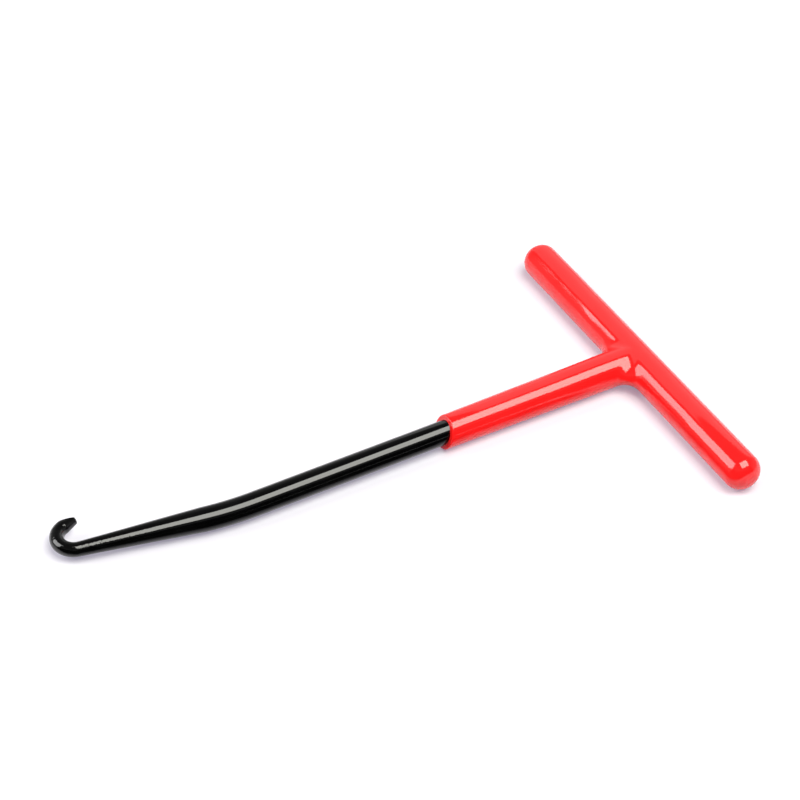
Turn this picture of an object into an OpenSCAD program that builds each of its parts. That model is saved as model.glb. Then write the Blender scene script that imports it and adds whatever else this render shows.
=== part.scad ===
// Spring puller: a hooked steel shank welded to a cross bar, with a dipped T-handle grip.
// It is drawn lying as it rests, shank along X with the hook at +X, cross bar along Y.
// All sizes are in millimetres.

/* [Shank] */
// Diameter of the rod that the shank and hook are drawn from
rod_d = 6.5; // [5.5:0.1:6.8]
// Distance from the cross bar's axis to the corner of the bend
bend_x = 122.6; // [100:0.2:140]
// Angle that the shank turns at the bend
bend_angle = 10; // [4:0.5:16]
// Radius of the bend along the rod's centre line
bend_r = 80; // [40:1:120]
// Length of the drawn-down taper between the bend and the hook
taper_l = 31.8; // [24:0.2:40]

/* [Hook] */
// Diameter of the hook
hook_d = 3.8; // [3.2:0.1:4.2]
// Radius of the hook along its centre line
hook_r = 4.7; // [4.4:0.1:6]
// Angle that the hook curls through
hook_sweep = 151; // [140:1:165]
// Straight length of the tip after the curl
tip_l = 3; // [2.4:0.1:4]
// Diameter of the tip before its flat is ground
tip_d = 2.6; // [2.2:0.1:3]
// Angle between the ground flat and the tip
tip_grind = 26; // [22:1:45]
// Width of the blunt edge that the ground flat leaves
tip_edge = 0.9; // [0.8:0.1:1.6]

/* [Cross bar and weld] */
// Diameter of the steel cross bar
bar_d = 8; // [7.6:0.1:8.4]
// Chamfer at the cross bar's ends
bar_chamfer = 1.5; // [0.8:0.1:2]
// Leg of the weld bead around the shank
weld_leg = 1; // [0.7:0.1:1.1]

/* [Grip] */
// Length of the grip over both ends
grip_l = 108.2; // [90:0.2:130]
// Thickness of the grip on the cross bar
grip_wall = 1.15; // [1:0.05:1.5]
// Thickness of the grip over the cross bar's ends
end_wall = 1.6; // [1.5:0.1:2.5]
// Rounding of the grip's ends
end_round = 4.4; // [2.5:0.1:4.6]
// Distance from the cross bar's axis to the mouth of the sleeve
sleeve_l = 59.8; // [45:0.2:70]
// Thickness of the sleeve at its mouth
sleeve_wall = 1.3; // [1:0.05:1.4]
// Gap between the sleeve's neck and the surface that the puller lies on
neck_lift = 0.04; // [0.02:0.01:0.1]
// How far the dip line runs out of square, to each side of the mouth
mouth_slant = 0.8; // [0:0.1:2]
// Where the dip line reaches furthest, as a turn around the shank from the +Y side
mouth_slant_turn = -45; // [-180:5:180]
// Rounding of the sleeve's lip
lip_round = 0.6; // [0.3:0.05:0.7]
// Radius of the blend between the sleeve and the bar
blend_r = 5.5; // [3:0.1:8]

/* [Hidden] */
$fn = 96;

rod_r = rod_d / 2;
bar_r = bar_d / 2;
tip_r = tip_d / 2;
grip_r = bar_r + grip_wall;
bar_l = grip_l - 2 * end_wall;

// Each run of the rod starts a little inside the run before it, and a hair thinner.
run_lap = 0.05;
run_step = 0.02;
bent_d = rod_d - run_step;

// The bend's tangent length shortens the straight shank.
shank_l = bend_x - bend_r * tan(bend_angle / 2);
bend_end = [shank_l + bend_r * sin(bend_angle), -bend_r * (1 - cos(bend_angle))];
taper_end = bend_end + taper_l * [cos(bend_angle), -sin(bend_angle)];
hook_centre = taper_end - hook_r * [sin(bend_angle), cos(bend_angle)];

// The puller lies on its cross bar and on its sleeve's mouth, or on the end of its bend if that is lower.
mouth_r = rod_r + sleeve_wall;
under_x = sleeve_l - lip_round + mouth_slant * cos(-90 - mouth_slant_turn);
mouth_lay = asin(grip_r / norm([under_x, mouth_r])) - atan2(mouth_r, under_x);
bend_lay = asin((grip_r - rod_r) / bend_end.x);
lay_angle = min(mouth_lay, bend_lay);
back_x = -grip_r;
front_x = (hook_centre.x + hook_r) * cos(lay_angle) + hook_d / 2;
middle_x = (back_x + front_x) / 2;

// The sleeve thickens towards its neck so that its underside stays level.
neck_x = grip_r + blend_r + 1;
neck_r = (grip_r - neck_x * sin(lay_angle)) / cos(lay_angle) - neck_lift;

// Profile of the weld bead: distance from the shank's axis, then along it.
weld_toe = 0.3 * weld_leg;
weld_start = 0.3 * bar_r;
weld_crest = [0.7 * bar_r, bar_r + 0.2 * weld_leg];
weld_root = 0.5;

// Facets of the grip's skin: around the sleeve, behind the bar, and along each rounding.
around_n = 64;
behind_n = 32;
blend_n = 7;
lip_n = 4;
end_n = 7;
half_n = around_n / 2;
column_n = half_n + behind_n;

// Draws an arc that leaves the origin along +X and turns towards -Y.
module bent_run(radius, angle, d) {
    lap_angle = run_lap / radius * 180 / PI;
    translate([0, -radius, 0])
        rotate([0, 0, 90 - angle])
            rotate_extrude(angle = angle + lap_angle)
                translate([radius, 0])
                    circle(d = d);
}

// Moves its children to the end of such an arc.
module after_bend(radius, angle) {
    translate([radius * sin(angle), -radius * (1 - cos(angle)), 0])
        rotate([0, 0, -angle])
            children();
}

// Draws a round run along +X that changes evenly from one diameter to another.
module straight_run(length, d_start, d_end) {
    translate([-run_lap, 0, 0])
        rotate([0, 90, 0])
            cylinder(h = length + run_lap, d1 = d_start, d2 = d_end);
}

// Lays the whole puller down, centred over the origin.
module laid() {
    translate([-middle_x, 0, grip_r])
        rotate([0, lay_angle, 0])
            children();
}

// The hook curls round and narrows a little to its tip, with a flat ground across its outside.
module hook() {
    cut = 3 * hook_d;
    difference() {
        union() {
            bent_run(hook_r, hook_sweep, hook_d);
            after_bend(hook_r, hook_sweep)
                straight_run(tip_l, hook_d - run_step, tip_d);
        }
        after_bend(hook_r, hook_sweep)
            translate([tip_l, tip_edge - tip_r, 0])
                rotate([0, 0, -tip_grind])
                    translate([-cut, 0, -cut / 2])
                        cube([2 * cut, cut, cut]);
    }
}

// Steel cross bar with chamfered ends, before anything is cut from it.
module bar_stock() {
    profile = [
        [0, -bar_l / 2],
        [bar_r - bar_chamfer, -bar_l / 2],
        [bar_r, -bar_l / 2 + bar_chamfer],
        [bar_r, bar_l / 2 - bar_chamfer],
        [bar_r - bar_chamfer, bar_l / 2],
        [0, bar_l / 2]
    ];
    rotate([90, 0, 0])
        rotate_extrude()
            polygon(profile);
}

// Weld bead as a solid of revolution, before the bar and rod are cut from it.
module weld_stock() {
    profile = [
        [0, weld_start],
        [rod_r + weld_toe, weld_start],
        [rod_r + weld_leg, weld_crest[0]],
        [rod_r + weld_leg, weld_crest[1]],
        [rod_r - weld_root, weld_crest[1] + weld_leg + weld_root],
        [0, weld_crest[1] + weld_leg + weld_root]
    ];
    rotate([0, 90, 0])
        rotate_extrude()
            polygon(profile);
}

// Centre of a ball of the blend's radius that touches both the sleeve and the bar.
function ball_centre(turn) =
    let (z = (neck_r + blend_r) * sin(turn))
    [sqrt(pow(grip_r + blend_r, 2) - z * z), (neck_r + blend_r) * cos(turn), z];

// Direction from that ball's centre to where it touches the sleeve.
function to_sleeve(turn) = [0, -cos(turn), -sin(turn)];

// Direction from that ball's centre to where it touches the bar.
function to_bar(turn) =
    let (c = ball_centre(turn))
    [-c.x, 0, -c.z] / (grip_r + blend_r);

// Point on the ball between its two touching points, for a share from 0 to 1.
function blend_point(turn, share) =
    let (
        a = to_sleeve(turn),
        b = to_bar(turn),
        w = acos(a * b)
    )
    ball_centre(turn) + blend_r * (sin((1 - share) * w) * a + sin(share * w) * b) / sin(w);

// Angle around the sleeve, from its underside, and angle around the bar at each column.
function turn_at(i) = -90 + 360 * i / around_n;
function top_angle() = asin((neck_r + blend_r) / (grip_r + blend_r));
function column_angle(q) =
    q <= half_n
    ? asin(sin(turn_at(q)) * sin(top_angle()))
    : top_angle() + (360 - 2 * top_angle()) * (q - half_n) / behind_n;

// Rings of the sleeve from its lip to the neck: distance along the shank, radius, and slant.
sleeve_rings = concat(
    [for (k = [0:lip_n])
        let (a = 90 - 90 * k / lip_n)
        [sleeve_l - lip_round + lip_round * sin(a), mouth_r - lip_round + lip_round * cos(a), mouth_slant]],
    [[neck_x, neck_r, 0]]
);

// Rings of each half of the bar to its end: distance from the shank, then radius.
end_rings = [for (k = [0:end_n])
    let (a = 90 * k / end_n)
    [grip_l / 2 - end_round + end_round * sin(a), grip_r - end_round + end_round * cos(a)]];

sleeve_points = [for (ring = sleeve_rings, i = [0:around_n - 1])
    let (turn = turn_at(i))
    [ring[0] + ring[2] * cos(turn - mouth_slant_turn), ring[1] * cos(turn), ring[1] * sin(turn)]];
blend_points = [for (k = [0:blend_n], i = [0:around_n - 1]) blend_point(turn_at(i), k / blend_n)];
behind_points = [for (q = [half_n + 1:column_n - 1])
    [grip_r * cos(column_angle(q)), 0, grip_r * sin(column_angle(q))]];
end_points = [for (side = [1, -1], ring = end_rings, q = [0:column_n - 1])
    [ring[1] * cos(column_angle(q)), side * ring[0], ring[1] * sin(column_angle(q))]];
grip_points = concat(sleeve_points, blend_points, behind_points, end_points);

row_n = len(sleeve_rings) + blend_n + 1;
behind_first = row_n * around_n;
end_first = behind_first + behind_n - 1;

// Index of a point in a row around the sleeve, along the bar's middle, or in an end ring.
function row_index(row, i) = row * around_n + i % around_n;
function middle_index(side, q) =
    let (wrapped = q % column_n)
    wrapped > half_n
    ? behind_first + wrapped - half_n - 1
    : row_index(row_n - 1, side > 0 ? wrapped : around_n - wrapped);
function end_index(side, ring, q) =
    end_first + ((side > 0 ? 0 : len(end_rings)) + ring) * column_n + q % column_n;

// Two triangles across four points, turned over for the side that is mirrored.
function two_triangles(a, b, c, d, side) =
    side > 0 ? [[a, b, c], [a, c, d]] : [[c, b, a], [d, c, a]];

sleeve_faces = [for (row = [0:row_n - 2], i = [0:around_n - 1], face = two_triangles(
    row_index(row, i), row_index(row, i + 1), row_index(row + 1, i + 1), row_index(row + 1, i), 1))
    face];
middle_faces = [for (side = [1, -1], q = [0:column_n - 1], face = two_triangles(
    middle_index(side, q), middle_index(side, q + 1), end_index(side, 0, q + 1), end_index(side, 0, q), side))
    face];
end_faces = [for (side = [1, -1], ring = [0:end_n - 1], q = [0:column_n - 1], face = two_triangles(
    end_index(side, ring, q), end_index(side, ring, q + 1),
    end_index(side, ring + 1, q + 1), end_index(side, ring + 1, q), side))
    face];
mouth_face = [for (i = [around_n - 1:-1:0]) row_index(0, i)];
near_face = [for (q = [0:column_n - 1]) end_index(1, end_n, q)];
far_face = [for (q = [column_n - 1:-1:0]) end_index(-1, end_n, q)];

// Outer skin of the grip as one closed solid, with the sleeve blended into the bar.
module grip_stock() {
    polyhedron(
        points = grip_points,
        faces = concat(sleeve_faces, middle_faces, end_faces, [mouth_face, near_face, far_face]),
        convexity = 6
    );
}

// Black rod: straight shank coped to the bar, bend, taper, hook and ground tip.
module hook_rod() {
    color([0.05, 0.05, 0.05])
        laid()
            difference() {
                union() {
                    straight_run(shank_l, rod_d, rod_d);
                    translate([shank_l, 0, 0]) {
                        bent_run(bend_r, bend_angle, bent_d);
                        after_bend(bend_r, bend_angle) {
                            straight_run(taper_l, bent_d - run_step, hook_d + run_step);
                            translate([taper_l, 0, 0])
                                hook();
                        }
                    }
                }
                bar_stock();
            }
}

// Steel bar inside the handle.
module cross_bar() {
    color([0.55, 0.56, 0.58])
        laid()
            bar_stock();
}

// Fillet weld all round the joint between the shank and the bar.
module weld_bead() {
    color([0.45, 0.45, 0.47])
        laid()
            difference() {
                weld_stock();
                bar_stock();
                straight_run(shank_l, rod_d, rod_d);
            }
}

// Red dipped grip that covers the bar, the weld and the upper shank.
module handle_grip() {
    color([0.85, 0.08, 0.08])
        laid()
            difference() {
                grip_stock();
                bar_stock();
                straight_run(shank_l, rod_d, rod_d);
                weld_stock();
            }
}

hook_rod();
cross_bar();
weld_bead();
handle_grip();
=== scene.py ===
"""Dresses the spring puller: a dipped red T-handle on a black painted rod, in a plain studio.

The puller's own frame has the cross bar along Y through the origin and the shank along +X.
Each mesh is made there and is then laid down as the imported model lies.
"""

import logging
import math
from collections.abc import Callable, Iterable
from dataclasses import dataclass
from enum import Enum

import bmesh
import bpy
from bmesh.types import BMEdge, BMesh, BMVert
from mathutils import Matrix, Vector


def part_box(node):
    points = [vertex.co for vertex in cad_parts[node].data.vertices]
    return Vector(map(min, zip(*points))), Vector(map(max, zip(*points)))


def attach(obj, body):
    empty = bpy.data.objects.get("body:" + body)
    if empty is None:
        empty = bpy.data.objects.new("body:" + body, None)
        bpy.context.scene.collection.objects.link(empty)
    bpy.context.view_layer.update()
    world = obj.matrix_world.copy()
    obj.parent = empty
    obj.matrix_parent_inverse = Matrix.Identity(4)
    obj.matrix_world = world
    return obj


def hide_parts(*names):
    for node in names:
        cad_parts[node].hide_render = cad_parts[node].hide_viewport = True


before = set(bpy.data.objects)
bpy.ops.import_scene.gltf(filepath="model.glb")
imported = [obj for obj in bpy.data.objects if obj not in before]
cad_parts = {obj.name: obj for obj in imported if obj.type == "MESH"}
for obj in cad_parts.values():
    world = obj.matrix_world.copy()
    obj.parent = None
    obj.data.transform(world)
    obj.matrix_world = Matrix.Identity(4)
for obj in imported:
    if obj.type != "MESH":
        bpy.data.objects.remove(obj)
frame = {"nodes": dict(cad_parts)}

LOG = logging.getLogger("spring_puller")
MM = 0.001
BODY = "root"
MERGE_DISTANCE = 0.0005 * MM
QUARTER_TURN = math.radians(90)
ROUND_PROFILE = 0.5
NOISE_RANGE = (0.3, 0.7)
FULL_RANGE = (0.0, 1.0)

Colour = tuple[float, float, float]
Ring = list[BMEdge]


class Slot(Enum):
    """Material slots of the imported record."""

    BLACK_PAINT = "black_paint"
    BARE_STEEL = "bare_steel"
    RED_COAT = "red_coat"


class MathKind(Enum):
    """Ways to put two values of a material together."""

    PRODUCT = "MULTIPLY"
    SUM = "ADD"
    LARGER = "MAXIMUM"


class Half(Enum):
    """Halves of the cross bar, each with its sign along Y."""

    NEAR = 1
    FAR = -1


def edges_of(verts: Iterable[BMVert]) -> Ring:
    """Lists the edges at some vertices, each once and in a fixed order.

    Args:
        verts: The vertices to look at.

    Returns:
        Their edges.
    """
    return list(dict.fromkeys(edge for vert in verts for edge in vert.link_edges))


def grow(bm: BMesh, ring: Ring, move: Callable[[BMVert], Vector]) -> Ring:
    """Extrudes an open ring of edges and moves the new vertices.

    Args:
        bm: Mesh that the ring is in.
        ring: Edges to extrude.
        move: Gives the place of a new vertex, which starts where its old one is.

    Returns:
        The edges of the new ring.
    """
    grown = bmesh.ops.extrude_edge_only(bm, edges=ring)["geom"]
    for vert in grown:
        if isinstance(vert, BMVert):
            vert.co = move(vert)
    return [edge for edge in grown if isinstance(edge, BMEdge) and edge.is_boundary]


def shank_ring(bm: BMesh, x: float, radius: float, segments: int, capped: bool) -> list[BMVert]:
    """Makes a ring round the shank's axis.

    Args:
        bm: Mesh to make it in.
        x: Distance along the shank.
        radius: Radius of the ring.
        segments: Number of its edges.
        capped: Whether a face closes it.

    Returns:
        The ring's vertices.
    """
    turned = Matrix.Rotation(QUARTER_TURN, 4, "Y")
    made = bmesh.ops.create_circle(
        bm,
        cap_ends=capped,
        segments=segments,
        radius=radius,
        matrix=Matrix.Translation((x, 0, 0)) @ turned,
    )
    return made["verts"]


def to_object(bm: BMesh, name: str, place: Matrix) -> bpy.types.Object:
    """Closes a mesh off and makes it an object at the origin.

    Args:
        bm: Finished mesh in the puller's own frame. It is freed.
        name: Name of the piece.
        place: Matrix that lays the puller down.

    Returns:
        The new object, linked to the scene.
    """
    bmesh.ops.remove_doubles(bm, verts=bm.verts[:], dist=MERGE_DISTANCE)
    bmesh.ops.recalc_face_normals(bm, faces=bm.faces[:])
    bm.transform(place)
    mesh = bpy.data.meshes.new(name)
    bm.to_mesh(mesh)
    bm.free()
    piece = bpy.data.objects.new(name, mesh)
    bpy.context.scene.collection.objects.link(piece)
    return piece


class NodeSheet:
    """A material's nodes, with short calls that add and join them."""

    def __init__(self, name: str) -> None:
        """Starts an empty material.

        Args:
            name: Name of the material.
        """
        self.material = bpy.data.materials.new(name)
        self.material.use_nodes = True
        self.tree = self.material.node_tree
        self.tree.nodes.clear()
        self.output = self.add("ShaderNodeOutputMaterial")
        self.place = self.add("ShaderNodeTexCoord").outputs["Object"]

    def add(self, kind: str, **values: object) -> bpy.types.Node:
        """Adds a node and sets its own properties.

        Args:
            kind: Blender's name of the node type.
            **values: Properties to set on the node.

        Returns:
            The new node.
        """
        node = self.tree.nodes.new(kind)
        for name, value in values.items():
            setattr(node, name, value)
        return node

    def join(self, source: bpy.types.NodeSocket, target: bpy.types.NodeSocket) -> None:
        """Links an output to an input.

        Args:
            source: Output that gives the value.
            target: Input that takes it.
        """
        self.tree.links.new(source, target)

    def shader(self, values: dict[str, object]) -> bpy.types.Node:
        """Adds the main shader with its constant values and joins it to the output.

        Args:
            values: Constant values by socket name.

        Returns:
            The shader node.
        """
        node = self.add("ShaderNodeBsdfPrincipled")
        for name, value in values.items():
            node.inputs[name].default_value = value
        self.join(node.outputs["BSDF"], self.output.inputs["Surface"])
        return node

    def matt(self, colour: Colour) -> bpy.types.NodeSocket:
        """Adds a matt shader.

        Args:
            colour: Its one colour.

        Returns:
            The shader's socket.
        """
        node = self.add("ShaderNodeBsdfDiffuse")
        node.inputs["Color"].default_value = (*colour, 1)
        return node.outputs["BSDF"]

    def axes(self) -> bpy.types.NodeOutputs:
        """Splits the object coordinates.

        Returns:
            The sockets X, Y and Z.
        """
        node = self.add("ShaderNodeSeparateXYZ")
        self.join(self.place, node.inputs["Vector"])
        return node.outputs

    def stretch(self, scale: tuple[float, float, float]) -> bpy.types.NodeSocket:
        """Scales the object coordinates.

        Args:
            scale: Scale along each axis.

        Returns:
            The scaled coordinates' socket.
        """
        node = self.add("ShaderNodeMapping")
        node.inputs["Scale"].default_value = scale
        self.join(self.place, node.inputs["Vector"])
        return node.outputs["Vector"]

    def noise(
        self,
        size: float,
        detail: float = 2.0,
        place: bpy.types.NodeSocket | None = None,
    ) -> bpy.types.NodeSocket:
        """Adds a noise of a given feature size.

        Args:
            size: Distance between features, in metres.
            detail: Levels of finer noise on top.
            place: Coordinates to use instead of the object's.

        Returns:
            The noise value's socket.
        """
        node = self.add("ShaderNodeTexNoise")
        node.inputs["Scale"].default_value = 1 / size
        node.inputs["Detail"].default_value = detail
        self.join(place or self.place, node.inputs["Vector"])
        return node.outputs["Fac"]

    def remap(
        self,
        value: bpy.types.NodeSocket,
        source: tuple[float, float],
        target: tuple[float, float],
    ) -> bpy.types.NodeSocket:
        """Maps a value from one range to another, with both ends held.

        Args:
            value: Socket to map.
            source: Range that is read.
            target: Range that is given.

        Returns:
            The mapped value's socket.
        """
        node = self.add("ShaderNodeMapRange", clamp=True)
        self.join(value, node.inputs["Value"])
        for name, number in zip(("From Min", "From Max", "To Min", "To Max"), source + target):
            node.inputs[name].default_value = number
        return node.outputs["Result"]

    def maths(self, kind: MathKind, *values: bpy.types.NodeSocket) -> bpy.types.NodeSocket:
        """Works out one value from several.

        Args:
            kind: How two values are put together.
            *values: Values to put together, from the first on.

        Returns:
            The result's socket.
        """
        result = values[0]
        for value in values[1:]:
            node = self.add("ShaderNodeMath", operation=kind.value)
            self.join(result, node.inputs[0])
            self.join(value, node.inputs[1])
            result = node.outputs["Value"]
        return result

    def between(
        self,
        share: bpy.types.NodeSocket,
        low: Colour | bpy.types.NodeSocket,
        high: Colour,
    ) -> bpy.types.NodeSocket:
        """Mixes two colours.

        Args:
            share: Share of the second colour.
            low: First colour, or a socket that gives it.
            high: Second colour.

        Returns:
            The mixed colour's socket.
        """
        node = self.add("ShaderNodeMix", data_type="RGBA")
        self.join(share, node.inputs["Factor"])
        # a Mix node lists its colour sockets after those for numbers and vectors
        first, second = node.inputs[6], node.inputs[7]
        if isinstance(low, bpy.types.NodeSocket):
            self.join(low, first)
        else:
            first.default_value = (*low, 1)
        second.default_value = (*high, 1)
        return node.outputs[2]

    def bump(
        self,
        height: bpy.types.NodeSocket,
        depth: float,
        under: bpy.types.NodeSocket | None = None,
    ) -> bpy.types.NodeSocket:
        """Adds relief of a given depth.

        Args:
            height: Relief from 0 to 1.
            depth: What 1 stands for, in metres.
            under: Normal of a coarser relief that this one lies on.

        Returns:
            The normal's socket.
        """
        node = self.add("ShaderNodeBump")
        node.inputs["Distance"].default_value = depth
        self.join(height, node.inputs["Height"])
        if under:
            self.join(under, node.inputs["Normal"])
        return node.outputs["Normal"]


@dataclass(frozen=True)
class DippedCoat:
    """Glossy red plastic that a dip leaves: slow waves, a fine orange peel and an even colour."""

    deep: Colour = (0.84, 0.010, 0.0105)
    bright: Colour = (0.92, 0.013, 0.0135)
    gloss: tuple[float, float] = (0.06, 0.11)
    index: float = 1.53
    wave_size: float = 12 * MM
    wave_depth: float = 0.2 * MM
    peel_size: float = 0.5 * MM
    peel_depth: float = 0.0012 * MM
    cloud_size: float = 14 * MM
    smear_size: float = 14 * MM / 3

    def material(self) -> bpy.types.Material:
        """Makes the material.

        Returns:
            The new material.
        """
        sheet = NodeSheet("red_dipped_coat")
        shader = sheet.shader({"IOR": self.index})
        cloud = sheet.remap(sheet.noise(self.cloud_size, detail=3), NOISE_RANGE, FULL_RANGE)
        sheet.join(sheet.between(cloud, self.deep, self.bright), shader.inputs["Base Color"])
        smear = sheet.noise(self.smear_size, detail=4)
        sheet.join(sheet.remap(smear, NOISE_RANGE, self.gloss), shader.inputs["Roughness"])
        waves = sheet.bump(sheet.noise(self.wave_size, detail=0), self.wave_depth)
        peel = sheet.bump(sheet.noise(self.peel_size, detail=1), self.peel_depth, waves)
        sheet.join(peel, shader.inputs["Normal"])
        return sheet.material


@dataclass(frozen=True)
class BlackPaint:
    """Gloss black paint on a drawn rod, rougher where the hook was worked and thin on its edges."""

    black: Colour = (0.0008, 0.0008, 0.0009)
    dusty: Colour = (0.0022, 0.0022, 0.0024)
    thin: Colour = (0.035, 0.034, 0.033)
    gloss: tuple[float, float] = (0.05, 0.10)
    index: float = 1.53
    speck_size: float = 4.8 * MM
    speck_range: tuple[float, float] = (0.45, 0.75)
    patch_range: tuple[float, float] = (0.4, 0.6)
    smear_size: float = 3.2 * MM
    draw_size: float = 1.6 * MM
    draw_stretch: float = 14.0
    draw_depth: float = 0.004 * MM
    peel_size: float = 0.4 * MM
    peel_depth: float = 0.0014 * MM
    forge_size: float = 0.75 * MM
    forge_depth: float = 0.055 * MM
    forge_start: float = 52 * MM
    forge_end: float = 80 * MM
    wear_layer: str = "paint_wear"

    def material(self) -> bpy.types.Material:
        """Makes the material.

        Returns:
            The new material.
        """
        sheet = NodeSheet("black_gloss_paint")
        shader = sheet.shader({"IOR": self.index})
        speck = sheet.remap(sheet.noise(self.speck_size, detail=5), self.speck_range, FULL_RANGE)
        coat = sheet.between(speck, self.black, self.dusty)
        worn = sheet.add("ShaderNodeAttribute", attribute_name=self.wear_layer).outputs["Fac"]
        patches = sheet.remap(sheet.noise(self.forge_size, detail=3), self.patch_range, FULL_RANGE)
        bare = sheet.maths(MathKind.PRODUCT, worn, patches)
        sheet.join(sheet.between(bare, coat, self.thin), shader.inputs["Base Color"])
        smear = sheet.noise(self.smear_size, detail=4)
        sheet.join(sheet.remap(smear, NOISE_RANGE, self.gloss), shader.inputs["Roughness"])
        along = sheet.stretch((1 / self.draw_stretch, 1, 1))
        drawn = sheet.bump(sheet.noise(self.draw_size, detail=1, place=along), self.draw_depth)
        peel = sheet.bump(sheet.noise(self.peel_size, detail=1), self.peel_depth, drawn)
        worked = sheet.remap(sheet.axes()["X"], (self.forge_start, self.forge_end), FULL_RANGE)
        forged = sheet.maths(MathKind.PRODUCT, worked, sheet.noise(self.forge_size))
        sheet.join(sheet.bump(forged, self.forge_depth, peel), shader.inputs["Normal"])
        return sheet.material


@dataclass(frozen=True)
class BareSteel:
    """Drawn steel under the coat, with lengthwise lines and a thin brown film."""

    clean: Colour = (0.52, 0.51, 0.50)
    film: Colour = (0.20, 0.15, 0.11)
    gloss: tuple[float, float] = (0.28, 0.5)
    line_size: float = 0.5 * MM
    line_stretch: float = 40.0
    line_depth: float = 0.008 * MM
    film_size: float = 6 * MM
    film_range: tuple[float, float] = (0.5, 0.8)
    film_cover: tuple[float, float] = (0.0, 0.8)

    def material(self) -> bpy.types.Material:
        """Makes the material.

        Returns:
            The new material.
        """
        sheet = NodeSheet("bare_drawn_steel")
        shader = sheet.shader({"Metallic": 1.0})
        stain = sheet.remap(sheet.noise(self.film_size, detail=5), self.film_range, self.film_cover)
        sheet.join(sheet.between(stain, self.clean, self.film), shader.inputs["Base Color"])
        lines = sheet.noise(self.line_size, place=sheet.stretch((1, 1 / self.line_stretch, 1)))
        sheet.join(sheet.remap(lines, NOISE_RANGE, self.gloss), shader.inputs["Roughness"])
        sheet.join(sheet.bump(lines, self.line_depth), shader.inputs["Normal"])
        return sheet.material


@dataclass(frozen=True)
class WeldScale:
    """Weld metal with rippled beads and heat colours."""

    metal: Colour = (0.34, 0.33, 0.32)
    heat: Colour = (0.13, 0.11, 0.16)
    gloss: tuple[float, float] = (0.35, 0.6)
    tint_size: float = 2.7 * MM
    ripple_size: float = 0.9 * MM
    ripple_depth: float = 0.06 * MM

    def material(self) -> bpy.types.Material:
        """Makes the material.

        Returns:
            The new material.
        """
        sheet = NodeSheet("weld_scale")
        shader = sheet.shader({"Metallic": 1.0})
        tint = sheet.noise(self.tint_size, detail=4)
        sheet.join(sheet.between(tint, self.metal, self.heat), shader.inputs["Base Color"])
        ripple = sheet.noise(self.ripple_size)
        sheet.join(sheet.remap(ripple, NOISE_RANGE, self.gloss), shader.inputs["Roughness"])
        sheet.join(sheet.bump(ripple, self.ripple_depth), shader.inputs["Normal"])
        return sheet.material


@dataclass(frozen=True)
class PullerLay:
    """How the puller lies: where its cross bar's axis is and how far the shank leans down."""

    crossing: Vector
    lean: float

    def matrix(self) -> Matrix:
        """Lays the puller down.

        Returns:
            The matrix from the puller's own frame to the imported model's.
        """
        return Matrix.Translation(self.crossing) @ Matrix.Rotation(self.lean, 4, "Y")


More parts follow.
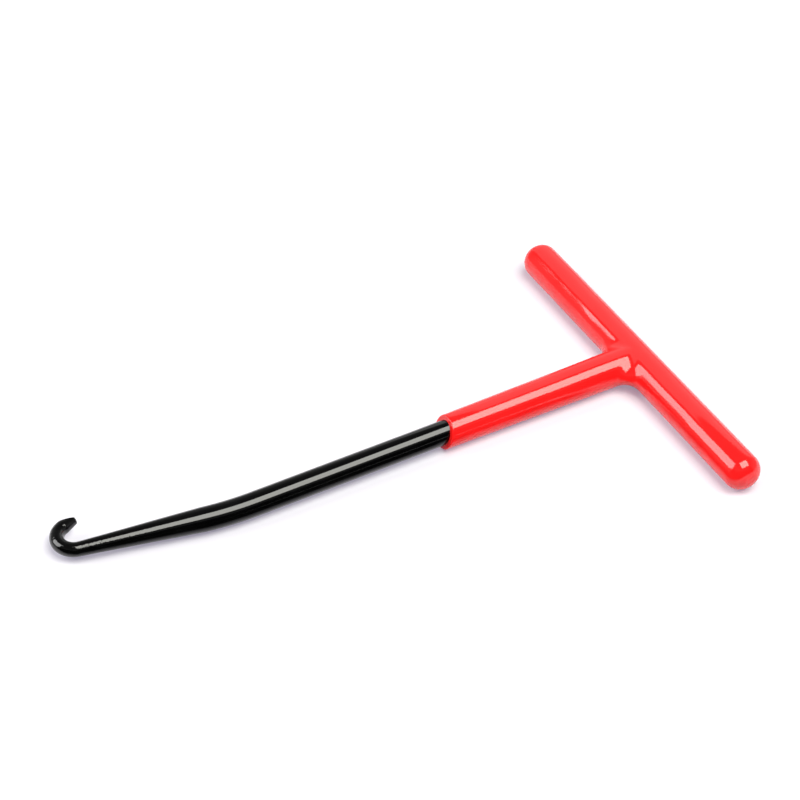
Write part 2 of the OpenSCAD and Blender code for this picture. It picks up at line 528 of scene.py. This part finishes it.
@dataclass
class HookRod:
    """Black rod: straight shank, slight bend, taper, hook and ground tip."""

    radius: float
    start: float
    bend_x: float = 122.6 * MM
    bend_angle: float = math.radians(10)
    bend_r: float = 80 * MM
    taper_l: float = 31.8 * MM
    hook_d: float = 3.8 * MM
    hook_r: float = 4.7 * MM
    hook_sweep: float = math.radians(151)
    tip_l: float = 3.4 * MM
    tip_d: float = 2.6 * MM
    tip_grind: float = math.radians(26)
    tip_edge: float = 0.9 * MM
    edge_round: float = 0.06 * MM
    segments: int = 96
    shank_steps: int = 16
    bend_steps: int = 16
    taper_steps: int = 24
    hook_steps: int = 64
    tip_steps: int = 10
    edge_steps: int = 2

    def shank_l(self) -> float:
        """Works out the straight shank's length.

        Returns:
            The length from the cross bar's axis to the bend.
        """
        return self.bend_x - self.bend_r * math.tan(self.bend_angle / 2)

    def build(self, place: Matrix) -> bpy.types.Object:
        """Sweeps one ring along the rod, closes its tip and grinds it.

        Args:
            place: Matrix that lays the puller down.

        Returns:
            The rod's object.
        """
        bm = bmesh.new()
        wear = bm.verts.layers.float.new(BlackPaint.wear_layer)
        ring = edges_of(shank_ring(bm, self.start, self.radius, self.segments, capped=True))
        end = Matrix.Translation((self.start, 0, 0))
        shank_run = self.shank_l() - self.start
        taper_share = self.hook_d / (2 * self.radius)
        tip_share = self.tip_d / self.hook_d
        ring, end = self.straight(bm, ring, end, shank_run, 1.0, self.shank_steps)
        ring, end = self.bend(bm, ring, end, self.bend_r, self.bend_angle, self.bend_steps)
        ring, end = self.straight(bm, ring, end, self.taper_l, taper_share, self.taper_steps)
        ring, end = self.bend(bm, ring, end, self.hook_r, self.hook_sweep, self.hook_steps)
        ring, end = self.straight(bm, ring, end, self.tip_l, tip_share, self.tip_steps)
        bmesh.ops.edgeloop_fill(bm, edges=ring)
        self.grind(bm, end, wear)
        for face in bm.faces:
            face.smooth = len(face.verts) <= 4
        return to_object(bm, "painted_hook_rod", place)

    @staticmethod
    def straight(
        bm: BMesh,
        ring: Ring,
        end: Matrix,
        length: float,
        shrink: float,
        steps: int,
    ) -> tuple[Ring, Matrix]:
        """Draws the ring straight on, changing its radius evenly.

        Args:
            bm: Mesh that the ring is in.
            ring: Edges of the ring.
            end: Frame of the rod's end so far, with X along the rod.
            length: Length to draw.
            shrink: Radius at the end of the run, as a share of the one at its start.
            steps: Number of rings to make.

        Returns:
            The last ring and its frame.
        """
        before = 1.0
        for step in range(1, steps + 1):
            now = 1 + (shrink - 1) * step / steps
            further = end @ Matrix.Translation((length / steps, 0, 0))
            shift = further @ Matrix.Scale(now / before, 4) @ end.inverted()
            ring = grow(bm, ring, lambda vert: shift @ vert.co)
            end, before = further, now
        return ring, end

    @staticmethod
    def bend(
        bm: BMesh,
        ring: Ring,
        end: Matrix,
        radius: float,
        angle: float,
        steps: int,
    ) -> tuple[Ring, Matrix]:
        """Spins the ring round an arc that turns towards -Y.

        Args:
            bm: Mesh that the ring is in.
            ring: Edges of the ring.
            end: Frame of the rod's end so far, with X along the rod.
            radius: Radius of the arc along the rod's centre line.
            angle: Angle to turn through.
            steps: Number of rings to make.

        Returns:
            The last ring and its frame.
        """
        centre = end @ Vector((0, -radius, 0))
        verts = list(dict.fromkeys(vert for edge in ring for vert in edge.verts))
        spun = bmesh.ops.spin(
            bm,
            geom=verts + ring,
            cent=centre,
            axis=(0, 0, -1),
            angle=angle,
            steps=steps,
        )["geom_last"]
        arm = Matrix.Translation((0, radius, 0))
        turned = end @ arm.inverted() @ Matrix.Rotation(-angle, 4, "Z") @ arm
        return [edge for edge in spun if isinstance(edge, BMEdge)], turned

    def grind(self, bm: BMesh, end: Matrix, wear: bmesh.types.BMLayerItem) -> None:
        """Grinds a flat across the outside of the tip and rounds its border.

        Args:
            bm: Mesh of the whole rod.
            end: Frame of the tip's end.
            wear: Layer that marks where the paint is thin.
        """
        reach = 2 * self.tip_l
        inverse = end.inverted()
        near = [face for face in bm.faces if all(self.in_reach(inverse @ v.co, reach) for v in face.verts)]
        verts = list(dict.fromkeys(vert for face in near for vert in face.verts))
        normal = Vector((math.sin(self.tip_grind), math.cos(self.tip_grind), 0))
        cut = bmesh.ops.bisect_plane(
            bm,
            geom=verts + edges_of(verts) + near,
            plane_co=end @ Vector((0, self.tip_edge - self.tip_d / 2, 0)),
            plane_no=end.to_3x3() @ normal,
            clear_outer=True,
        )["geom_cut"]
        border = [edge for edge in cut if isinstance(edge, BMEdge)]
        bmesh.ops.edgeloop_fill(bm, edges=border)
        rounded = bmesh.ops.bevel(
            bm,
            geom=border,
            offset=self.edge_round,
            offset_type="OFFSET",
            segments=self.edge_steps,
            profile=ROUND_PROFILE,
            affect="EDGES",
            clamp_overlap=True,
            material=-1,
        )
        for vert in rounded["verts"]:
            vert[wear] = 1.0

    def in_reach(self, point: Vector, reach: float) -> bool:
        """Says if a point belongs to the tip and not to the shank.

        Args:
            point: Point in the tip's frame.
            reach: How far the tip goes, either way along the rod.

        Returns:
            Whether it is the tip's.
        """
        return -reach < point.x < reach and abs(point.y) < self.hook_d

    def dress(self, rod: bpy.types.Object) -> None:
        """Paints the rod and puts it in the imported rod's place.

        Args:
            rod: The rod's object.
        """
        rod.data.materials.append(BlackPaint().material())
        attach(rod, BODY)
        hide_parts("hook_rod")


@dataclass(frozen=True)
class SleeveRing:
    """One ring of a sleeve: distance along the shank, radius, and lengthwise slant to each side."""

    x: float
    radius: float
    slant: float = 0.0


@dataclass(frozen=True)
class TeeShape:
    """Sizes of a T-shaped skin: a round-ended bar along Y and a sleeve along +X blended into it."""

    bar_r: float
    half_l: float
    end_round: float
    neck_x: float
    neck_r: float
    blend_r: float
    sleeve: tuple[SleeveRing, ...]
    slant_turn: float
    slant_limit: float
    around: int = 96
    behind: int = 48
    blend_steps: int = 8
    bar_steps: int = 8
    end_steps: int = 9


class TeeSkin:
    """Builds a T-shaped skin out of one ring at the sleeve's neck."""

    def __init__(self, bm: BMesh, shape: TeeShape) -> None:
        """Prepares the skin.

        Args:
            bm: Mesh to build in.
            shape: Sizes of the skin.
        """
        self.bm = bm
        self.shape = shape
        layers = bm.verts.layers.float
        self.turn = layers.get("turn") or layers.new("turn")

    def build(self) -> Ring:
        """Builds the skin.

        Returns:
            The open ring at the sleeve's mouth.
        """
        neck = self.neck_ring()
        saddle = self.blend(neck)
        back = self.back_arc(saddle)
        for half in Half:
            self.bar_half(half, saddle, back)
        return self.sleeve(neck)

    def neck_ring(self) -> Ring:
        """Makes the ring at the neck and notes each vertex's turn around the sleeve.

        Returns:
            The ring's edges.
        """
        shape = self.shape
        verts = shank_ring(self.bm, shape.neck_x, shape.neck_r, shape.around, capped=False)
        for vert in verts:
            vert[self.turn] = math.atan2(vert.co.z, vert.co.y)
        return edges_of(verts)

    def blend_point(self, turn: float, share: float) -> Vector:
        """Rolls a ball along the corner between the sleeve and the bar.

        Args:
            turn: Angle around the sleeve, from +Y.
            share: 0 where the ball touches the sleeve, 1 where it touches the bar.

        Returns:
            The point of the ball at that share between the two.
        """
        shape = self.shape
        out = shape.neck_r + shape.blend_r
        reach = shape.bar_r + shape.blend_r
        height = out * math.sin(turn)
        centre = Vector((math.sqrt(reach**2 - height**2), out * math.cos(turn), height))
        to_sleeve = Vector((0, -math.cos(turn), -math.sin(turn)))
        to_bar = Vector((-centre.x, 0, -centre.z)).normalized()
        return centre + shape.blend_r * to_sleeve.slerp(to_bar, share)

    def blend(self, neck: Ring) -> Ring:
        """Draws the neck's ring over the blend.

        Args:
            neck: Ring at the neck.

        Returns:
            The ring where the blend meets the bar.
        """
        ring = neck
        steps = self.shape.blend_steps
        for step in range(steps + 1):
            ring = grow(self.bm, ring, lambda vert: self.blend_point(vert[self.turn], step / steps))
        return ring

    def back_arc(self, saddle: Ring) -> Ring:
        """Spins an arc round the bar's back, from the top of the blend to its underside.

        Args:
            saddle: Ring where the blend meets the bar.

        Returns:
            The arc's edges.
        """
        verts = list(dict.fromkeys(vert for edge in saddle for vert in edge.verts))
        top = max(verts, key=lambda vert: vert.co.z)
        under = min(verts, key=lambda vert: vert.co.z)
        spun = bmesh.ops.spin(
            self.bm,
            geom=[top],
            cent=(0, 0, 0),
            axis=(0, -1, 0),
            angle=2 * math.pi - 2 * math.atan2(top.co.z, top.co.x),
            steps=self.shape.behind,
        )["geom_last"]
        last = next(vert for vert in spun if isinstance(vert, BMVert))
        bmesh.ops.weld_verts(self.bm, targetmap={last: under})
        return [edge for edge in self.bm.edges if edge.is_wire]

    def bar_half(self, half: Half, saddle: Ring, back: Ring) -> None:
        """Draws one half of the bar and closes its round end.

        Args:
            half: Which half.
            saddle: Ring where the blend meets the bar.
            back: Arc round the bar's back.
        """
        shape = self.shape
        sign = half.value
        ring = [edge for edge in saddle if sign * (edge.verts[0].co.y + edge.verts[1].co.y) > 0] + back
        straight_end = sign * (shape.half_l - shape.end_round)
        for left in range(shape.bar_steps, 0, -1):
            ring = grow(
                self.bm,
                ring,
                lambda vert: Vector((vert.co.x, vert.co.y + (straight_end - vert.co.y) / left, vert.co.z)),
            )
        for step in range(1, shape.end_steps + 1):
            angle = QUARTER_TURN * step / shape.end_steps
            radius = shape.bar_r - shape.end_round + shape.end_round * math.cos(angle)
            y = straight_end + sign * shape.end_round * math.sin(angle)
            ring = grow(self.bm, ring, lambda vert: self.on_bar(vert.co, radius, y))
        bmesh.ops.edgeloop_fill(self.bm, edges=ring)

    @staticmethod
    def on_bar(point: Vector, radius: float, y: float) -> Vector:
        """Moves a point over the bar.

        Args:
            point: Point to move, which keeps its turn around the bar.
            radius: Distance from the bar's axis.
            y: Place along the bar.

        Returns:
            The moved point.
        """
        turn = math.atan2(point.z, point.x)
        return Vector((radius * math.cos(turn), y, radius * math.sin(turn)))

    def sleeve(self, neck: Ring) -> Ring:
        """Draws the neck's ring out to the sleeve's mouth.

        Args:
            neck: Ring at the neck.

        Returns:
            The ring at the mouth.
        """
        ring = neck
        for station in self.shape.sleeve:
            ring = grow(self.bm, ring, lambda vert: self.on_sleeve(vert[self.turn], station))
        return ring

    def on_sleeve(self, turn: float, station: SleeveRing) -> Vector:
        """Finds a point of a sleeve's ring.

        Args:
            turn: Angle around the sleeve, from +Y.
            station: The ring.

        Returns:
            The point.
        """
        lengthwise = min(station.slant * math.cos(turn - self.shape.slant_turn), self.shape.slant_limit)
        across = station.radius
        return Vector((station.x + lengthwise, across * math.cos(turn), across * math.sin(turn)))


@dataclass
class HandleGrip:
    """Red grip dipped over the bar, the weld and the upper shank, as one skin with a wall.

    The sleeve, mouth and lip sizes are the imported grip's and set how the puller lies.
    The trim, gap and bore sizes are those of the mouth that shows.
    """

    grip_r: float
    half_l: float
    bar_r: float
    bar_half: float
    rod_r: float
    end_round: float = 4.4 * MM
    sleeve_l: float = 59.8 * MM
    sleeve_wall: float = 1.3 * MM
    neck_lift: float = 0.04 * MM
    mouth_slant: float = 0.8 * MM
    mouth_slant_turn: float = math.radians(-45)
    lip_round: float = 0.6 * MM
    blend_r: float = 5.5 * MM
    weld_blend: float = 1 * MM
    bar_chamfer: float = 1.5 * MM
    neck_margin: float = 1 * MM
    trim_l: float = 60.5 * MM
    trim_slant: float = 1.55 * MM
    trim_turn: float = math.radians(-83)
    trim_limit: float = 1.2 * MM
    trim_inset: float = 0.03 * MM
    trim_round: float = 0.3 * MM
    mouth_gap: float = 0.45 * MM
    mouth_gap_depth: float = 6 * MM
    bore_round: float = 0.1 * MM
    lip_steps: int = 6
    sleeve_steps: int = 8
    smooth_level: int = 1

    def mouth_r(self) -> float:
        """Works out the sleeve's outer radius.

        Returns:
            The radius at the mouth.
        """
        return self.rod_r + self.sleeve_wall

    def lean(self) -> float:
        """Works out how the puller lies on its bar and on the underside of its sleeve's mouth.

        Returns:
            The angle at which the shank leans down.
        """
        turn = -QUARTER_TURN - self.mouth_slant_turn
        under_x = self.sleeve_l - self.lip_round + self.mouth_slant * math.cos(turn)
        mouth_r = self.mouth_r()
        return math.asin(self.grip_r / math.hypot(under_x, mouth_r)) - math.atan2(mouth_r, under_x)

    def outside(self) -> TeeShape:
        """Sizes the outer skin.

        Returns:
            Its sizes.
        """
        lean = self.lean()
        neck_x = self.grip_r + self.blend_r + self.neck_margin
        neck_r = (self.grip_r - neck_x * math.sin(lean)) / math.cos(lean) - self.neck_lift
        lip_x = self.trim_l - self.trim_round
        mouth_r = self.mouth_r() - self.trim_inset
        rings = []
        for step in range(1, self.sleeve_steps):
            share = step / self.sleeve_steps
            rings.append(
                SleeveRing(
                    neck_x + share * (lip_x - neck_x),
                    neck_r + share * (mouth_r - neck_r),
                    share * self.trim_slant,
                )
            )
        for step in range(self.lip_steps + 1):
            angle = QUARTER_TURN * step / self.lip_steps
            rings.append(
                SleeveRing(
                    lip_x + self.trim_round * math.sin(angle),
                    mouth_r - self.trim_round * (1 - math.cos(angle)),
                    self.trim_slant,
                )
            )
        return TeeShape(
            bar_r=self.grip_r,
            half_l=self.half_l,
            end_round=self.end_round,
            neck_x=neck_x,
            neck_r=neck_r,
            blend_r=self.blend_r,
            sleeve=tuple(rings),
            slant_turn=self.trim_turn,
            slant_limit=self.trim_limit,
        )

    def inside(self) -> TeeShape:
        """Sizes the inner skin, which stands a little open at the mouth.

        Returns:
            Its sizes.
        """
        slack = self.rod_r + self.mouth_gap
        stations = (
            (self.mouth_gap_depth, self.rod_r),
            (self.mouth_gap_depth - self.mouth_gap, slack),
            (self.bore_round, slack),
            (0.0, slack + self.bore_round),
        )
        rings = [SleeveRing(self.trim_l - depth, radius, self.trim_slant) for depth, radius in stations]
        return TeeShape(
            bar_r=self.bar_r,
            half_l=self.bar_half,
            end_round=self.bar_chamfer,
            neck_x=self.bar_r + self.weld_blend + self.neck_margin,
            neck_r=self.rod_r,
            blend_r=self.weld_blend,
            sleeve=tuple(rings),
            slant_turn=self.trim_turn,
            slant_limit=self.trim_limit,
        )

    def build(self, place: Matrix) -> bpy.types.Object:
        """Builds both skins and joins them at the mouth.

        Args:
            place: Matrix that lays the puller down.

        Returns:
            The grip's object.
        """
        bm = bmesh.new()
        mouth = TeeSkin(bm, self.outside()).build() + TeeSkin(bm, self.inside()).build()
        bmesh.ops.bridge_loops(bm, edges=mouth)
        for face in bm.faces:
            face.smooth = True
        grip = to_object(bm, "dipped_grip", place)
        smooth = grip.modifiers.new("smooth_skin", "SUBSURF")
        smooth.levels = self.smooth_level
        smooth.render_levels = self.smooth_level
        return grip

    def dress(self, grip: bpy.types.Object) -> None:
        """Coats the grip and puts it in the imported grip's place.

        Args:
            grip: The grip's object.
        """
        grip.data.materials.append(DippedCoat().material())
        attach(grip, BODY)
        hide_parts("handle_grip")


@dataclass
class SteelCore:
    """Cross bar and weld inside the grip, which stay as they are packed and get their metal."""

    bar_node: str = "cross_bar"
    weld_node: str = "weld_bead"

    def dress(self, nodes: dict[str, bpy.types.Object]) -> None:
        """Gives the bar and the weld their materials.

        Args:
            nodes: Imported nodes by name.
        """
        for name, finish in ((self.bar_node, BareSteel()), (self.weld_node, WeldScale())):
            materials = nodes[name].data.materials
            materials.clear()
            materials.append(finish.material())


@dataclass(frozen=True)
class SoftBox:
    """A rectangular soft lamp that faces the puller."""

    name: str
    towards: tuple[float, float, float]
    along: tuple[float, float, float]
    width: float
    height: float
    radiance: float
    distance: float
    colour: Colour = (1.0, 1.0, 1.0)

    def add(self) -> bpy.types.Object:
        """Hangs the lamp, with its sizes given for a distance of one metre.

        Returns:
            The lamp's object.
        """
        lamp = bpy.data.lights.new(self.name, "AREA")
        lamp.shape = "RECTANGLE"
        lamp.size = self.width * self.distance
        lamp.size_y = self.height * self.distance
        lamp.color = self.colour
        lamp.energy = self.radiance * math.pi * lamp.size * lamp.size_y
        hung = bpy.data.objects.new(self.name, lamp)
        way = Vector(self.towards).normalized()
        side = Vector(self.along)
        side = (side - side.project(way)).normalized()
        turn = Matrix((side, way.cross(side), way)).transposed().to_4x4()
        hung.matrix_world = Matrix.Translation(self.distance * way) @ turn
        bpy.context.scene.collection.objects.link(hung)
        return hung


@dataclass
class Studio:
    """Pale floor, grey surroundings, two soft boxes, three cards for the gloss, and the camera."""

    floor_r: float = 6.0
    floor_segments: int = 96
    floor_colour: Colour = (0.58, 0.58, 0.59)
    floor_glow: Colour = (0.26, 0.24, 0.31)
    floor_white: Colour = (1.0, 1.0, 1.0)
    floor_far: tuple[float, float] = (0.3, 1.2)
    sky_stops: tuple[tuple[float, float], ...] = ((0.0, 0.45), (0.3, 0.35), (0.6, 0.18), (0.8, 0.08))
    card_r: float = 1.3
    card_top: float = 0.80
    card_sweep: float = math.radians(150)
    card_steps: int = 32
    card_colour: Colour = (0.008, 0.008, 0.008)
    sheet_half: float = 0.65
    sheet_height: float = 0.4 * MM
    sheet_forward: float = 0.52
    sheet_edge_y: tuple[float, float] = (3 * MM, 9 * MM)
    sheet_edge_x: tuple[float, float] = (-72 * MM, -62 * MM)
    sheet_bend_x: float = 40 * MM
    sheet_lean: float = 0.18
    sheet_mouth_x: tuple[float, float] = (-28 * MM, -18 * MM)
    sheet_sleeve_y: float = 4 * MM
    bounce_corner: tuple[float, float, float] = (-0.055, -0.012, 0.075)
    bounce_half: float = 0.15
    bounce_white: float = 0.85
    camera_place: tuple[float, float, float] = (0.17547, 0.33953, 0.36800)
    camera_elevation: float = math.radians(41.932)
    camera_azimuth: float = math.radians(151.719)
    camera_focal_px: float = 2019.1
    picture_px: float = 800.0
    sensor: float = 36.0
    camera_clip: tuple[float, float] = (0.01, 50.0)
    boxes: tuple[SoftBox, ...] = (
        SoftBox(
            name="key_soft_box",
            towards=(-0.180, 0.366, 1.0),
            along=(1.0, 0.0, 0.0),
            width=0.80,
            height=0.69,
            radiance=8.0,
            distance=1.1,
            colour=(1.0, 1.0, 0.93),
        ),
        SoftBox(
            name="side_soft_box",
            towards=(0.955, -0.617, 0.820),
            along=(0.230, 0.874, 0.422),
            width=0.525,
            height=0.63,
            radiance=5.8,
            distance=1.4,
        ),
    )

    def build(self) -> None:
        """Sets up the whole studio."""
        bpy.context.scene.view_settings.view_transform = "Standard"
        self.add_floor()
        self.add_surroundings()
        self.add_card()
        self.add_sheet()
        self.add_bounce()
        for box in self.boxes:
            box.add()
        self.add_camera()

    def add_floor(self) -> None:
        """Lays a pale floor that is white to the camera and keeps the puller's shadow."""
        bm = bmesh.new()
        bmesh.ops.create_circle(bm, cap_ends=True, segments=self.floor_segments, radius=self.floor_r)
        floor = to_object(bm, "floor", Matrix.Identity(4))
        sheet = NodeSheet("pale_floor")
        glow = sheet.add("ShaderNodeEmission")
        away = sheet.add("ShaderNodeVectorMath", operation="LENGTH")
        sheet.join(sheet.place, away.inputs["Vector"])
        far = sheet.remap(away.outputs["Value"], self.floor_far, FULL_RANGE)
        sheet.join(sheet.between(far, self.floor_glow, self.floor_white), glow.inputs["Color"])
        rays = sheet.add("ShaderNodeLightPath").outputs
        kinds = ("Is Camera Ray", "Is Glossy Ray", "Is Transmission Ray")
        seen = sheet.maths(MathKind.LARGER, *(rays[kind] for kind in kinds))
        sheet.join(seen, glow.inputs["Strength"])
        both = sheet.add("ShaderNodeAddShader")
        sheet.join(sheet.matt(self.floor_colour), both.inputs[0])
        sheet.join(glow.outputs["Emission"], both.inputs[1])
        sheet.join(both.outputs["Shader"], sheet.output.inputs["Surface"])
        floor.data.materials.append(sheet.material)

    def add_surroundings(self) -> None:
        """Makes grey surroundings that are lightest at the horizon and dim overhead."""
        world = bpy.data.worlds.new("surroundings")
        bpy.context.scene.world = world
        world.use_nodes = True
        tree = world.node_tree
        way = tree.nodes.new("ShaderNodeTexCoord").outputs["Generated"]
        axes = tree.nodes.new("ShaderNodeSeparateXYZ")
        tree.links.new(way, axes.inputs["Vector"])
        ramp = tree.nodes.new("ShaderNodeValToRGB")
        tree.links.new(axes.outputs["Z"], ramp.inputs["Fac"])
        top, _ = self.sky_stops[-1]
        stripe = ramp.color_ramp.elements
        while len(stripe) < len(self.sky_stops):
            stripe.new(top)
        for element, (height, white) in zip(stripe, self.sky_stops):
            element.position = height
            element.color = (white, white, white, 1)
        tree.links.new(ramp.outputs["Color"], tree.nodes["Background"].inputs["Color"])

    def add_card(self) -> None:
        """Stands a dark card round the camera's side, seen only in the gloss of the puller."""
        bm = bmesh.new()
        away = self.camera_azimuth - QUARTER_TURN
        first = Matrix.Rotation(away - self.card_sweep / 2, 3, "Z") @ Vector((self.card_r, 0, 0))
        low = bm.verts.new(first)
        high = bm.verts.new(first + Vector((0, 0, self.card_top)))
        edge = bm.edges.new((low, high))
        bmesh.ops.spin(
            bm,
            geom=[low, high, edge],
            cent=(0, 0, 0),
            axis=(0, 0, 1),
            angle=self.card_sweep,
            steps=self.card_steps,
        )
        sheet = NodeSheet("dark_card")
        sheet.join(sheet.matt(self.card_colour), sheet.output.inputs["Surface"])
        self.gloss_only(to_object(bm, "dark_card", Matrix.Identity(4)), sheet)

    def add_sheet(self) -> None:
        """Lays a dark sheet in front of the shank, so that the lower gloss of the puller stays dark."""
        bm = bmesh.new()
        half = self.sheet_half
        middle_x = self.sheet_edge_x[0] + half
        middle_y = self.sheet_edge_y[0] + self.sheet_forward
        middle = Matrix.Translation((middle_x, middle_y, self.sheet_height))
        bmesh.ops.create_grid(bm, size=half, matrix=middle)
        sheet = NodeSheet("dark_sheet")
        axes = sheet.axes()
        turned = sheet.remap(
            axes["X"],
            (self.sheet_bend_x, self.sheet_bend_x + half),
            (0, self.sheet_lean * half),
        )
        wider = sheet.remap(axes["X"], self.sheet_mouth_x, (-self.sheet_sleeve_y, 0))
        before = sheet.maths(MathKind.SUM, axes["Y"], turned, wider)
        cover = sheet.maths(
            MathKind.PRODUCT,
            sheet.remap(axes["X"], self.sheet_edge_x, FULL_RANGE),
            sheet.remap(before, self.sheet_edge_y, FULL_RANGE),
        )
        clear = sheet.add("ShaderNodeBsdfTransparent")
        faded = sheet.add("ShaderNodeMixShader")
        sheet.join(cover, faded.inputs["Fac"])
        sheet.join(clear.outputs["BSDF"], faded.inputs[1])
        sheet.join(sheet.matt(self.card_colour), faded.inputs[2])
        sheet.join(faded.outputs["Shader"], sheet.output.inputs["Surface"])
        self.gloss_only(to_object(bm, "dark_sheet", Matrix.Identity(4)), sheet)

    def add_bounce(self) -> None:
        """Hangs a white card over the handle, so that the top of the grip shows a pale gloss."""
        bm = bmesh.new()
        half = self.bounce_half
        middle = Vector(self.bounce_corner) - Vector((half, half, 0))
        bmesh.ops.create_grid(bm, size=half, matrix=Matrix.Translation(middle))
        sheet = NodeSheet("white_card")
        white = sheet.add("ShaderNodeEmission")
        white.inputs["Strength"].default_value = self.bounce_white
        sheet.join(white.outputs["Emission"], sheet.output.inputs["Surface"])
        self.gloss_only(to_object(bm, "white_card", Matrix.Identity(4)), sheet)

    @staticmethod
    def gloss_only(card: bpy.types.Object, sheet: NodeSheet) -> None:
        """Finishes a card that shows in the gloss of the puller and nowhere else.

        Args:
            card: The card's object.
            sheet: Its material.
        """
        card.visible_camera = False
        card.visible_diffuse = False
        card.visible_shadow = False
        card.data.materials.append(sheet.material)

    def add_camera(self) -> None:
        """Sets the camera at the photograph's viewing angle."""
        data = bpy.data.cameras.new("camera")
        data.sensor_width = self.sensor
        data.lens = self.camera_focal_px * self.sensor / self.picture_px
        data.clip_start, data.clip_end = self.camera_clip
        camera = bpy.data.objects.new("camera", data)
        camera.location = self.camera_place
        camera.rotation_euler = (QUARTER_TURN - self.camera_elevation, 0, self.camera_azimuth)
        bpy.context.scene.collection.objects.link(camera)
        bpy.context.scene.camera = camera


def main() -> None:
    """Builds each sub-assembly in order and reports it."""
    logging.basicConfig(level=logging.INFO, format="%(message)s")
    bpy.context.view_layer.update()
    grip_low, grip_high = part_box("handle_grip")
    bar_low, bar_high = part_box("cross_bar")
    _, rod_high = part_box("hook_rod")
    grip_r = (bar_high.z + bar_low.z) / 2 - grip_low.z
    bar_r = (bar_high.z - bar_low.z) / 2
    crossing = Vector((grip_low.x + grip_r, 0, grip_low.z + grip_r))

    rod = HookRod(radius=rod_high.y, start=bar_r)
    grip = HandleGrip(grip_r, grip_high.y, bar_r, bar_high.y, rod.radius)
    lay = PullerLay(crossing, grip.lean())
    for assembly in (rod, grip):
        piece = assembly.build(lay.matrix())
        assembly.dress(piece)
        LOG.info("%s: %d faces", piece.name, len(piece.data.polygons))
    SteelCore().dress(frame["nodes"])
    LOG.info("cross_bar and weld_bead: packed shapes with their metals")

    Studio().build()


if __name__ == "__main__":
    main()
